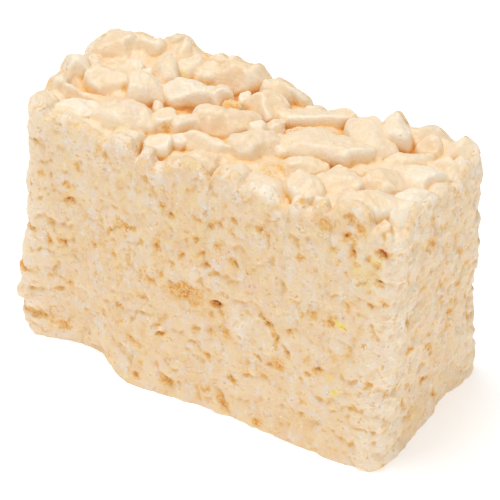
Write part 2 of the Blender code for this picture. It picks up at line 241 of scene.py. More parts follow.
# Grains of the top, whole and coated. The marked ones are those that show; the rest fill between.
topGrains = {
    "marked": (  # millimetres: x, y, half length, half width; then turn in degrees, rise, peachiness
        (-24.0, 6.4, 2.7, 1.6, 21, 0.3, 0.60), (-20.2, 8.8, 1.8, 1.2, 16, 0.1, 0.30),
        (-17.1, 12.0, 3.2, 1.5, 12, 0.3, 0.35), (-25.5, -0.8, 1.6, 1.5, 29, 0.2, 0.10),
        (-20.3, -0.7, 3.0, 2.0, 8, 0.5, 0.60), (-15.4, -0.2, 2.4, 1.9, 39, 0.6, 0.15),
        (-15.4, 5.1, 2.3, 1.4, -59, 0.2, 0.40), (-12.9, 7.3, 1.7, 1.4, 42, 0.1, 0.20),
        (-10.3, 2.3, 3.0, 1.8, 22, 0.5, 0.05), (-6.2, 3.8, 1.5, 1.5, 30, 0.2, 0.50),
        (-10.3, 7.7, 1.6, 1.1, 38, -0.3, 0.60), (-6.6, 9.5, 3.6, 1.9, 35, 0.3, 0.75),
        (-9.8, 13.5, 2.1, 1.0, 31, -0.2, 0.30), (-0.7, 6.5, 2.3, 2.3, 63, 0.4, 0.50),
        (-0.3, 10.7, 2.6, 1.2, 42, 0.1, 0.60), (-20.9, -8.3, 2.8, 1.5, 21, -0.2, 0.00),
        (-14.4, -7.1, 3.8, 2.3, 27, 0.6, 0.30), (-9.8, -4.3, 1.6, 1.4, 44, 0.1, 0.50),
        (-7.3, -3.8, 1.7, 1.2, 37, -0.1, 0.35), (-3.0, -0.4, 3.8, 2.2, 27, 0.5, 0.70),
        (1.5, -0.2, 1.2, 1.0, 47, 0.2, 0.10), (-7.9, -9.2, 1.6, 1.6, 24, -0.1, 0.20),
        (-6.1, -7.3, 1.1, 1.1, 30, -0.5, 0.00), (-2.3, -6.5, 3.0, 1.4, -4, -0.1, 0.30),
        (-2.0, -10.3, 2.8, 1.5, 30, -0.1, 0.60), (2.6, -3.3, 3.3, 2.2, 58, 0.6, 0.50),
        (5.2, -5.5, 3.1, 1.9, 32, -0.9, 1.00), (-20.1, -4.6, 4.1, 1.0, 12, -0.6, 0.85),
        (-22.1, 3.0, 1.1, 0.8, 35, -0.5, 0.80), (-19.2, 3.7, 1.2, 1.0, 8, -0.3, 0.05),
        (5.6, 7.7, 4.3, 1.4, 24, 0.3, 0.40), (10.5, 1.0, 5.2, 2.6, 17, 0.8, 0.25),
        (13.9, 6.7, 4.8, 2.4, -47, 0.5, 0.20), (16.2, 9.1, 2.5, 1.7, -62, 0.4, 0.10),
        (19.9, 11.9, 2.9, 2.0, 46, 0.1, 0.30), (20.6, 4.7, 2.8, 0.9, 46, -0.4, 0.35),
        (25.4, 10.5, 2.1, 2.1, 26, -0.3, 0.20), (22.8, 1.7, 3.1, 2.4, 9, -0.1, 0.00),
        (24.5, 5.2, 1.6, 1.6, 36, -0.3, 0.30), (9.8, -4.1, 2.8, 1.3, 40, -0.3, 0.25),
        (6.4, -1.9, 1.3, 1.0, 34, -0.6, 0.10), (12.3, -7.9, 2.7, 1.8, -37, 0.1, 0.25),
        (15.5, -4.8, 2.8, 2.3, -13, 0.2, 0.45), (20.0, -2.4, 2.7, 2.4, 31, 0.1, 0.55),
        (4.5, 0.9, 1.2, 0.9, -1, -0.9, 0.90), (1.5, 10.8, 1.8, 0.5, 14, 0.1, 0.40),
        (25.0, -3.4, 2.4, 1.7, 65, 0.1, 0.00), (21.6, -8.3, 3.6, 2.2, 24, 0.4, 0.35),
        (-20.4, -11.0, 4.2, 1.4, 6, 0.0, 0.30), (-25.6, -9.6, 1.9, 1.9, 0, 0.0, 0.25),
        (26.4, 6.7, 2.0, 1.5, 75, -0.2, 0.10), (26.6, -0.2, 2.0, 1.5, 82, -0.2, 0.10),
        (25.9, -7.0, 2.2, 1.5, 55, 0.1, 0.05),
    ),
    "markedDepth": 0.9,  # half depth as a part of the half width
    "markedGrowth": 1.20,  # what their marked sizes and rises are multiplied by
    "markedRise": 1.3,
    "large": {"sizes": (1.05, 0.70), "tries": 4000, "room": 0.80, "seed": 5, "drop": 0.0003},
    "small": {"sizes": (0.60, 0.36), "tries": 700, "room": 0.80, "seed": 6, "drop": 0.0009},
    "spread": 0.15,
    "rise": 0.0005,
    "inset": 0.0013,
    "rimShare": 0.35,      # how much of the rim's roundness the crowns take part in
}


# How far the block's round rim lies below its height: a quarter circle in from the outline.
def rimDrop(points):
    rim = block["rimRadius"]
    inside = np.clip(-planDistance(points)[0], 0, rim)
    return rim - np.sqrt(rim**2 - (rim - inside) ** 2)


# Shape of the top's grains. Powers of 2 make an ellipsoid, higher ones make it blunter.
grainShape = {
    "endPower": (2.1, 3.0),
    "sidePower": (2.0, 2.7),
    "crownPower": (1.7, 2.3),
    "bend": 0.20,
    "taper": 0.18,
    "slant": 0.22,           # how far a crown slants, as a part of its half depth
    "facets": 6,
    "facetDistance": (0.70, 1.06),
    "facetSoftness": 0.075,
    "wall": 3.0,             # how steeply it falls past its outline
    "reach": 1.4,            # how far out it is worked out, in half lengths
}


# One grain, from its place, half sizes, turn and slant; its crown is at the given rise above the
# block's height. The rest of its shape is drawn by its number.
def placeGrain(number, x, y, halfSizes, turn, rise, peach):
    draw = random.Random(number)
    spot = np.array([x, y])
    facets = []
    for _ in range(grainShape["facets"]):
        facing = np.array([draw.gauss(0, 0.8), draw.gauss(0, 1), abs(draw.gauss(0, 0.8)) + 0.3])
        facets.append((facing / np.linalg.norm(facing), draw.uniform(*grainShape["facetDistance"])))
    shape = {name: draw.uniform(*grainShape[name]) for name in ("endPower", "sidePower", "crownPower")}
    for name in ("bend", "taper"):
        shape[name] = draw.uniform(-1, 1) * grainShape[name]
    slants = np.array([draw.uniform(-1, 1), draw.uniform(-1, 1)]) * grainShape["slant"]
    crown = rise - rimDrop(spot[None])[0] * topGrains["rimShare"]
    return {"spot": spot, "halves": np.array(halfSizes), "turn": turn, "crown": crown, "slants": slants,
            "facets": facets, "peach": peach, **shape}


def layTopGrains():
    packing = Packing()
    found = []
    for x, y, halfLength, halfWidth, turn, rise, peach in topGrains["marked"]:
        x, y, halfLength, halfWidth, rise = (value * mm for value in (x, y, halfLength, halfWidth, rise))
        rise *= topGrains["markedRise"]
        halfLength *= topGrains["markedGrowth"]
        halfWidth *= topGrains["markedGrowth"]
        halfSizes = [halfLength, halfWidth, max(halfWidth * topGrains["markedDepth"], 0.001)]
        packing.add(*discsAlong(x, y, halfLength, halfWidth, math.radians(turn)))
        found.append(placeGrain(len(found), x, y, halfSizes, math.radians(turn), rise, peach))
    reach = half - topGrains["inset"]
    for rule in (topGrains["large"], topGrains["small"]):
        draw = random.Random(rule["seed"])
        for index in range(rule["tries"]):
            halfSizes = triedSizes(rule, index, topGrains["spread"], draw)
            x, y = draw.uniform(-reach[0], reach[0]), draw.uniform(-reach[1], reach[1])
            turn = draw.uniform(-math.pi / 2, math.pi / 2)
            rise = draw.uniform(-topGrains["rise"], topGrains["rise"]) - rule["drop"]
            peach = draw.random()
            discs = discsAlong(x, y, halfSizes[0], halfSizes[1], turn)
            outside = planDistance(np.array([[x, y, 0.0]]))[0][0] > -topGrains["inset"]
            if outside or not packing.takes(*discs, rule["room"]):
                continue
            packing.add(*discs)
            found.append(placeGrain(len(found), x, y, halfSizes, turn, rise, peach))
    return found


sideLaid = laySideGrains()
topLaid = layTopGrains()
print("laid", len(sideLaid), "side grains and", len(topLaid), "top grains")


# An object of its own in the scene.
def addObject(name, data):
    made = bpy.data.objects.new(name, data)
    bpy.context.scene.collection.objects.link(made)
    return made


# Sets up one closed mesh from its points, its faces and a number for each point under each name.
def addPiece(name, points, faces, values, material):
    mesh = bpy.data.meshes.new(name)
    faces = np.asarray(faces, np.int32)
    corners = faces.shape[1]
    mesh.vertices.add(len(points))
    mesh.vertices.foreach_set("co", points.astype(np.float32).ravel())
    mesh.loops.add(faces.size)
    mesh.loops.foreach_set("vertex_index", faces.ravel())
    mesh.polygons.add(len(faces))
    mesh.polygons.foreach_set("loop_start", np.arange(0, faces.size, corners, dtype=np.int32))
    mesh.update(calc_edges=True)
    mesh.validate()
    for label, numbers in values.items():
        layer = mesh.attributes.new(label, "FLOAT", "POINT")
        layer.data.foreach_set("value", numbers.astype(np.float32))
    mesh.shade_smooth()
    mesh.materials.append(material)
    piece = addObject(name, mesh)
    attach(piece, "root")
    print(name, "has", len(mesh.vertices), "points")
    return piece


# Faces of a tube of rings, closed by a pole at each end. Points come ring by ring from the first
# pole to the last, each ring turning the same way. As triangles, so that poles and rings agree.
def tubeFaces(rings, sides):
    ring = np.arange(rings)[:, None] * sides + 1
    side = np.arange(sides)
    nextSide = (side + 1) % sides
    a, b = ring[:-1] + side, ring[:-1] + nextSide
    c, d = ring[1:] + nextSide, ring[1:] + side
    quads = np.stack([np.stack([a, b, c], -1), np.stack([a, c, d], -1)], 2).reshape(-1, 3)
    last = rings * sides + 1
    first = np.stack([np.zeros_like(side), nextSide + 1, side + 1], -1)
    end = np.stack([np.full_like(side, last), ring[-1] + side, ring[-1] + nextSide], -1)
    return np.concatenate([first, quads, end])


# Adds heights with a soft join: the log of the sum of their exponentials.
class SoftTop:
    def __init__(self, shape, softness):
        self.softness = softness
        self.total = np.zeros(shape)
        self.shade = np.zeros(shape)

    def raiseTo(self, where, height, tint=0.5):
        weight = np.exp(np.clip(height / self.softness, -60, 60))
        self.total[where] += weight
        self.shade[where] += weight * tint

    def height(self):
        return self.softness * np.log(np.maximum(self.total, 1e-30))

    def tint(self):
        return self.shade / np.maximum(self.total, 1e-30)


# Mean over a few neighbours each way, for how deep a point lies against what is around it.
def blurred(values, passes, closed=True):
    for _ in range(passes):
        sides = np.pad(values, ((0, 0), (1, 1)), mode="wrap" if closed else "edge")
        values = (sides[:, :-2] + sides[:, 1:-1] + sides[:, 2:]) / 3
        ends = np.pad(values, ((1, 1), (0, 0)), mode="edge")
        values = (ends[:-2] + ends[1:-1] + ends[2:]) / 3
    return values


# Height of a grain over points of the plan: a dome on a blunt bent outline, slanted, and cut by
# facets through a soft minimum. Past its outline it falls steeply.
def crownHeight(points, grain):
    offset = points - grain["spot"]
    turn, depth = grain["turn"], grain["halves"][2]
    u = (offset[:, 0] * math.cos(turn) + offset[:, 1] * math.sin(turn)) / grain["halves"][0]
    v = (offset[:, 1] * math.cos(turn) - offset[:, 0] * math.sin(turn)) / grain["halves"][1]
    v = v * (1 + grain["taper"] * u) + grain["bend"] * (u * u - 0.35)
    past = 1 - np.abs(u) ** grain["endPower"] - np.abs(v) ** grain["sidePower"]
    dome = np.where(past > 0, np.maximum(past, 0) ** (1 / grain["crownPower"]), past * grainShape["wall"])
    softness = grainShape["facetSoftness"]
    total = np.exp(np.clip(-dome / softness, -60, 60))
    for facing, distance in grain["facets"]:
        plane = (distance - facing[0] * u - facing[1] * v) / facing[2]
        total += np.exp(np.clip(-plane / softness, -60, 60))
    dome = -softness * np.log(total)
    return grain["crown"] + depth * (dome - 1 + grain["slants"][0] * u + grain["slants"][1] * v)


# The top: grains joined by a soft maximum, then with the marshmallow between them by a softer one.
top = {
    "alongSteps": 430,
    "acrossSteps": 190,
    "underSteps": 8,         # across its lower side
    "grainSoftness": 0.00009,
    "softness": 0.00022,
    "level": (-0.0022, 0.0011, 0.0040),  # level, swing and size of the marshmallow
    "levelRimShare": 0.4,    # how much of the rim's roundness it takes part in
    "warps": ((0.0020, 0.00040), (0.0009, 0.00014)),  # size and reach of what bends the outlines
    "lumps": ((0.0024, 0.00022), (0.0011, 0.00017), (0.00055, 0.00010), (0.00030, 0.00003)),
    "thickness": 0.0055,     # from the block's height down to the lower side
    "endRise": 0.0010,
    "endInset": 0.0013,      # from the outline in to its edge
    "edgeSink": 0.00001,     # how far its edge sinks under the sides' rim
    "edgeReach": 0.0017,     # how far in from the outline the sinking ends
    "edgeStrip": 0.0006,     # width of the strip along its edge, as a part of the half width
    "deepShadeShare": 0.7,       # how strongly the painted shade of a deep crevice shows
    "raised": (              # rises of the rim, in millimetres: x, y, reach, height
        (-15.6, 11.0, 2.2, 1.3), (-9.0, 11.0, 1.9, 1.0), (-5.0, 11.0, 2.5, 0.5), (21.6, 11.0, 2.4, 1.0),
        (8.5, 11.0, 2.2, 0.4), (15.5, 11.0, 2.0, 0.3), (26.6, 9.5, 2.0, -1.0), (-6.4, 12.0, 1.6, -0.7),
        (-25.5, -5.6, 2.4, 1.7), (-26.0, -1.6, 1.8, 0.9), (-20.5, 11.0, 2.0, -0.5),
        (20.5, -10.0, 5.0, 1.1), (25.0, -7.0, 3.0, 0.3), (14.5, -12.0, 3.0, 0.5),
        (-24.0, -11.5, 3.0, 0.6), (-14.0, -12.0, 3.0, 0.4), (-2.0, 11.5, 2.4, 0.7),
        (24.5, 11.0, 2.0, 0.7),
    ),
    # The amber spots are painted shade, strongest in the low places between the grains.
    "amber": (               # spots, in millimetres: x, y, reach; then the strength
        (-17.5, -1.3, 0.9, 0.8), (-3.6, 2.4, 1.6, 1.0), (5.5, 2.2, 1.6, 1.0), (17.2, -3.0, 1.3, 1.0),
        (-8.6, -6.0, 0.9, 0.7), (7.6, -6.8, 2.0, 0.6), (-12.4, 9.9, 1.0, 0.6), (19.4, -7.4, 1.8, 0.5),
    ),
    "yellow": ((19.7, 0.0, 0.55, 0.9), (-12.6, 5.2, 0.7, 0.35), (-13.2, -9.9, 0.8, 0.35)),
    "spotDepth": 0.0012,     # how far below the height a spot is at full strength
    "backRise": 0.0004,      # how much higher the top stands along the back, right of an end
    "backFrom": (0.0070, 0.0110),
    "backEnd": -0.019,
    "leftRise": 0.0006,      # how much higher the marshmallow stands at the left end
    "leftFrom": (0.008, 0.017),
    # These set the painted shade in the top's crevices.
    "hollowPasses": 16,
    "hollowDepth": 0.0010,
    "hollowFrom": (0.0014, 0.0030),  # how deep the painted shade of a crevice starts and where it is at full strength
}


# Height of the top over points of the plan, from the block's height, and its tint.
def topHeight(points):
    flat = np.concatenate([points, np.zeros((*points.shape[:-1], 1))], -1)
    bent = points.copy()
    for size, reach in top["warps"]:
        bent += reach * noiseWays(flat, size, 54, 2)
    crowns = SoftTop(points.shape[:-1], top["grainSoftness"])
    for grain in topLaid:
        near = np.abs(points - grain["spot"]).max(-1) < grain["halves"][0] * grainShape["reach"]
        crowns.raiseTo(near, crownHeight(bent[near], grain), grain["peach"])
    level, swing, size = top["level"]
    level = level + swing * noiseAt(flat, size, 51) - rimDrop(flat) * top["levelRimShare"]
    level = level + top["leftRise"] * smoothStep(-points[..., 0], *top["leftFrom"])
    both = SoftTop(points.shape[:-1], top["softness"])
    everywhere = np.ones(level.shape, bool)
    both.raiseTo(everywhere, crowns.height().ravel(), crowns.tint().ravel())
    both.raiseTo(everywhere, level.ravel())
    height = both.height()
    atBack = smoothStep(points[..., 1], *top["backFrom"]) * (points[..., 0] > top["backEnd"])
    height = height + top["backRise"] * atBack
    for x, y, reach, rise in top["raised"]:
        away = np.linalg.norm(points - np.array([x, y]) * mm, axis=-1)
        height = height + rise * mm * hump(away, reach * mm)
    for index, (size, swing) in enumerate(top["lumps"]):
        height = height + swing * noiseAt(flat, size, 91 + index)
    return height, both.tint()


# Skin of the block: the four cut sides, the base and a plain top under the grains. A bulge is, in
# millimetres, its place along the outline, height, half length and half height, then metres out.
skin = {
    "fineStep": 0.00021,    # along the front and the right end
    "coarseStep": 0.00042,  # along the back and the left end
    "baseRows": 5,
    "baseSpacing": 0.6,     # below 1 puts them nearer to the outline
    "sideRows": 150,
    "rimRows": 6,
    "rim": 0.0012,          # where the cut turns into the top
    "rimInset": 0.0013,     # where the top's height is taken
    "rimLowest": -0.0026,
    "rimHighest": 0.0030,
    "underInsets": (0.001335, 0.00134, 0.0014, 0.0024),  # rows that follow the top in, sinking under it
    "underSinks": (0.00003, 0.00003, 0.00150, 0.00300),
    "capInset": 0.0034,     # where the plain top under the grains starts
    "underCap": 0.0048,     # how far it lies under the height
    "softness": 0.00011,
    "padFall": 0.00048,     # how far a pad falls at its edge
    "padPower": 3.0,        # how flat it is before it falls
    "padRoundness": 2.3,    # of its outline: 2 is an ellipse, more is squarer
    "padLowest": -0.004,
    "padReach": (1.5, 1.4),  # how far along and up it is worked out, in its half lengths
    "padLift": (-0.00020, 0.00016),
    "edgeLift": 0.00035,    # more lift at the block's upright edges
    "edgeSpread": (-0.6, 1.0),
    "edgeReach": 0.0035,
    "edgeWhite": 0.60,
    "padBulge": 0.25,
    "warps": ((0.0019, 0.00050), (0.0007, 0.00020)),  # size and reach of what bends the pads' outlines
    "fill": (-0.00030, 0.00028, 0.0036),              # level, swing and size of the filling
    "edgeFill": -0.00045,
    "cutKeep": 0.22,        # part of its height that a pad keeps past the cut
    "swells": ((0.0080, 0.00020), (0.0017, 0.00013), (0.00090, 0.00015), (0.00050, 0.00011)),
    "stand": 0.00018,       # how far the whole cut stands out
    "streaks": (0.0011, 0.00010, 0.22),  # of the knife at the right end: size, height, squeeze upward
    # These set the painted shade in the cut's hollows.
    "hollowPasses": 7,      # neighbours each way that a hollow is seen against
    "hollowDepth": 0.00034,
    "footFade": 0.0005,     # height over which the relief comes in above the base
    "keep": (0.8, 0.2),     # part of the relief kept everywhere, and added to it on the sides
    "rimMask": (-0.0022, -0.0004),
    "bulges": (
        (-1.9, 6.6, 2.6, 1.9, 0.0013), (-1.0, 13.5, 3.0, 2.0, 0.0004), (4.0, 0.0, 4.0, 2.5, 0.0003),
        (27.0, 0.0, 10.0, 3.0, 0.0005), (43.0, 0.0, 8.0, 3.0, 0.0008), (10.5, 0.0, 2.5, 2.5, -0.0007),
        (68.0, 0.0, 3.0, 2.5, -0.0006), (55.0, 0.0, 3.0, 3.0, 0.0003), (75.3, 15.5, 4.0, 4.0, -0.0007),
        (-2.0, 29.5, 3.0, 5.0, -0.0006), (-2.0, 10.5, 3.0, 1.5, 0.0007), (-2.0, 2.0, 3.0, 2.5, 0.0005),
    ),
}

# Pits torn out of the cut sides: the marked ones are those that show best.
pits = {
    "marked": (  # millimetres: along the outline, height, half length, half width; turn; depth
        (24.9, 29.3, 0.62, 0.23, -18, 0.5), (26.8, 29.1, 0.47, 0.42, 38, 0.6),
        (27.9, 29.6, 0.46, 0.28, -18, 0.6), (30.1, 31.1, 0.71, 0.42, -39, 0.6),
        (30.1, 29.0, 0.67, 0.20, -61, 0.4), (28.2, 26.3, 0.44, 0.23, -5, 0.5),
        (25.8, 24.2, 0.50, 0.23, -58, 0.4), (26.6, 23.0, 0.44, 0.33, -5, 0.5),
        (30.3, 24.7, 0.70, 0.47, -43, 0.9), (33.8, 31.2, 0.47, 0.37, -3, 0.4),
        (35.0, 30.1, 0.94, 0.23, -78, 0.4), (39.6, 29.0, 0.36, 0.17, -45, 0.5),
        (50.2, 33.6, 0.87, 0.51, 6, 1.2), (50.3, 29.2, 0.51, 0.26, -41, 0.9),
        (49.4, 25.6, 0.52, 0.17, -41, 0.5), (51.0, 26.5, 0.34, 0.26, -33, 0.5),
        (28.3, 17.3, 0.90, 0.47, 15, 2.2), (27.6, 15.5, 0.41, 0.19, -73, 0.6),
        (28.9, 16.4, 0.55, 0.14, -25, 0.5), (35.5, 17.5, 1.42, 0.16, -46, 0.8),
        (36.9, 15.4, 1.12, 0.13, -79, 0.6), (38.6, 14.1, 0.97, 0.14, -53, 0.7),
        (34.7, 11.3, 0.60, 0.19, -33, 0.7), (36.2, 11.0, 0.39, 0.17, 9, 0.6),
        (37.8, 11.3, 0.83, 0.42, -51, 0.4), (25.5, 12.2, 0.41, 0.35, -18, 0.8),
        (43.2, 13.2, 0.36, 0.20, -19, 0.7), (42.2, 12.1, 0.58, 0.17, 14, 0.4),
        (29.8, 13.3, 0.64, 0.26, -49, 0.4), (27.6, 8.7, 0.52, 0.30, -65, 0.4),
        (31.1, 6.1, 0.60, 0.20, -7, 0.5), (41.8, 21.2, 0.56, 0.33, -20, 0.3),
        (44.1, 20.7, 0.65, 0.42, -40, 0.3), (50.1, 13.5, 0.62, 0.11, 48, 0.4),
        (22.0, 2.3, 1.00, 0.51, -43, 0.7), (30.1, 2.1, 1.52, 0.26, -55, 0.5),
        (35.4, 1.0, 0.60, 0.31, 0, 0.4), (27.6, 3.1, 0.49, 0.33, -4, 0.4),
        (17.6, 1.7, 0.45, 0.30, -40, 0.5), (20.2, 11.1, 0.71, 0.12, 32, 0.5),
        (20.7, 9.8, 0.77, 0.16, 40, 1.0), (13.6, 11.5, 0.55, 0.31, 13, 0.9),
        (17.6, 14.6, 0.73, 0.51, -2, 0.6), (11.2, 8.5, 0.52, 0.31, -37, 0.5),
        (16.6, 7.3, 1.28, 0.24, -26, 0.3), (5.2, 27.6, 0.49, 0.35, -27, 0.6),
        (5.5, 25.0, 0.76, 0.40, 34, 0.6), (17.1, 32.5, 0.47, 0.18, -57, 0.6),
        (19.6, 29.4, 0.39, 0.31, 28, 0.5), (20.9, 28.5, 0.59, 0.20, 3, 0.8),
        (12.7, 23.2, 1.56, 0.14, 40, 0.5), (14.9, 24.4, 1.01, 0.17, 12, 0.4),
        (24.7, 26.0, 0.24, 0.18, -58, 0.4), (19.3, 23.3, 0.57, 0.31, -105, 0.4),
        (15.3, 18.9, 0.45, 0.31, -28, 0.4), (18.7, 17.8, 0.75, 0.29, -13, 0.3),
        (4.6, 17.3, 0.84, 0.24, -30, 0.5), (2.2, 17.3, 0.92, 0.29, -83, 0.4),
        (24.4, 17.8, 0.62, 0.31, -53, 0.6), (3.4, 9.0, 0.94, 0.29, 27, 0.5),
        (0.9, 3.7, 1.88, 0.27, 4, 0.6), (4.3, 2.8, 0.83, 0.55, 55, 0.6),
        (9.4, 19.6, 0.39, 0.16, -45, 0.5), (5.3, 10.9, 0.29, 0.29, -51, 0.4),
        (21.5, 21.3, 0.36, 0.29, -58, 0.4), (60.2, 34.3, 0.95, 0.22, -49, 0.5),
        (60.3, 31.1, 1.38, 0.40, -37, 0.5), (68.4, 24.8, 1.06, 0.27, -48, 0.7),
        (63.5, 22.7, 0.85, 0.22, -49, 0.5), (55.1, 22.4, 1.26, 0.35, -72, 0.9),
        (61.5, 8.7, 1.01, 0.35, -8, 1.0), (61.8, 13.5, 1.73, 0.27, -60, 0.5),
        (56.1, 17.0, 0.75, 0.27, -34, 0.4), (63.7, 20.1, 0.69, 0.27, 11, 0.4),
        (66.9, 16.3, 0.82, 0.22, -25, 0.4), (56.5, 7.9, 1.24, 0.20, -72, 0.4),
        (64.1, 4.1, 1.61, 0.20, -51, 0.4),
        (-2.0, 18.3, 2.4, 0.40, 0, 1.1), (-2.0, 11.4, 2.2, 0.30, 0, 0.8), (-2.0, 3.8, 2.0, 0.35, 0, 0.7),
        (75.3, 23.5, 1.8, 0.40, 0, 1.2), (75.3, 15.5, 1.8, 0.35, 0, 1.1), (75.3, 8.0, 1.6, 0.30, 0, 0.7),
    ),
    "markedDepth": 0.42,      # how much of the marked depth is taken
    "markedHalo": 0.9,
    "narrowest": 0.2,         # least half width of a marked one, in millimetres
    "number": 620,            # of the others, which a seeded rule lays
    "halfWidth": (0.00012, 0.00036),
    "stretch": (1.0, 2.8),
    "bow": 0.7,               # how much one may be bent like a bow
    "depth": (0.00006, 0.00026),
    "steepness": 1.4,         # 1 is a bell, more is a flatter floor with steeper walls
    "halo": (0.10, 0.70),     # strength of the stain round one
    "haloWidth": 0.00034,     # how far it reaches past the pit
    "haloSteepness": 1.2,
    "lowest": 0.0005,
    "topGap": 0.003,
    "crowding": 0.0065,       # size of the patches in which they crowd
    "crowd": (-0.7, 0.55),    # a place is kept where its noise is above a draw from these
    "bendReach": 0.00034,
    "bendSize": 0.0006,
    "seed": 21,
}

# Stains on the cut sides, in millimetres: along the outline, height, half length, half width;
# then the turn in degrees and the strength
stains = {
    "amber": (
        (23.6, 17.4, 3.2, 1.7, 10, 1.0), (60.5, 6.0, 2.0, 3.0, 0, 0.3), (19.5, 21.5, 1.4, 1.0, 0, 0.35),
        (28.3, 17.3, 1.3, 0.7, 15, 1.0), (42.8, 35.2, 2.0, 0.9, 0, 0.75),
        (46.0, 36.4, 2.0, 0.9, -25, 0.8), (2.2, 3.8, 2.0, 0.8, 0, 0.6), (37.5, 11.4, 1.0, 1.4, 0, 0.6),
        (27.0, 14.8, 2.2, 1.6, 0, 0.35), (5.0, 26.0, 2.0, 2.0, 0, 0.3), (61.0, 30.5, 1.6, 2.6, 0, 0.35),
        (43.5, 12.6, 1.6, 0.8, 0, 0.4),
    ),
    "white": (
        (36.0, 36.4, 3.6, 1.0, -8, 1.0), (52.3, 18.4, 0.4, 0.9, 0, 1.0), (52.0, 36.5, 2.0, 2.4, 0, 0.7),
        (72.5, 36.0, 3.0, 2.4, 0, 0.7), (64.0, 37.5, 3.0, 1.2, 0, 0.6), (53.2, 21.0, 0.9, 3.4, 0, 0.7),
        (52.6, 10.0, 1.0, 3.0, 0, 0.8), (51.8, 4.0, 1.2, 2.4, 0, 0.6), (20.6, 10.3, 0.5, 0.5, 0, 0.9),
        (59.0, 37.0, 3.4, 1.6, 0, 0.8), (31.5, 15.5, 1.0, 3.0, 10, 0.6), (25.5, 20.3, 1.6, 1.2, 0, 0.5),
        (36.2, 16.0, 0.6, 0.5, 0, 0.8), (7.5, 11.0, 1.4, 0.5, 0, 0.6),
    ),
    "yellow": (
        (45.3, 21.3, 0.55, 0.60, 0, 1.0), (45.8, 10.4, 0.6, 0.7, 0, 0.8),
        (45.1, 12.7, 0.5, 0.5, 0, 0.5), (49.2, 31.8, 0.7, 1.0, 20, 0.45),
        (48.0, 29.0, 2.2, 1.6, 0, 0.2),
    ),
    "bendReach": 0.0007,
    "bendSize": 0.0013,
    "steepness": 1.5,
}


# The skin's columns, as distances along the outline: close together where the front, the right end
# and the edge round the front's left are.
def skinColumns():
    fine = 2 * half.sum() - block["edgeRadii"][(-1, -1)]
    arc = block["edgeRadii"][(-1, -1)] * math.pi / 2
    return np.concatenate([
        np.arange(0, fine, skin["fineStep"]),
        np.arange(fine, around - arc, skin["coarseStep"]),
        np.arange(around - arc, around - skin["fineStep"] / 2, skin["fineStep"]),
    ])


# Distance along the outline from one place to others, the short way round.
def alongGap(columns, distance):
    return (columns - distance + around / 2) % around - around / 2


# Nearness to the block's upright edges, from 1 at the middle of each to 0.
def edgeNearness(column):
    near = np.zeros(len(column))
    start = 0.0
    for turn, signs in enumerate(((1, -1), (1, 1), (-1, 1), (-1, -1))):
        before = ((-1, -1), (1, -1), (1, 1), (-1, 1))[turn]
        arc = block["edgeRadii"][signs] * math.pi / 2
        start += 2 * half[turn % 2] - block["edgeRadii"][before] - block["edgeRadii"][signs]
        near = np.maximum(near, hump(alongGap(column, start + arc / 2), skin["edgeReach"]))
        start += arc
    return near


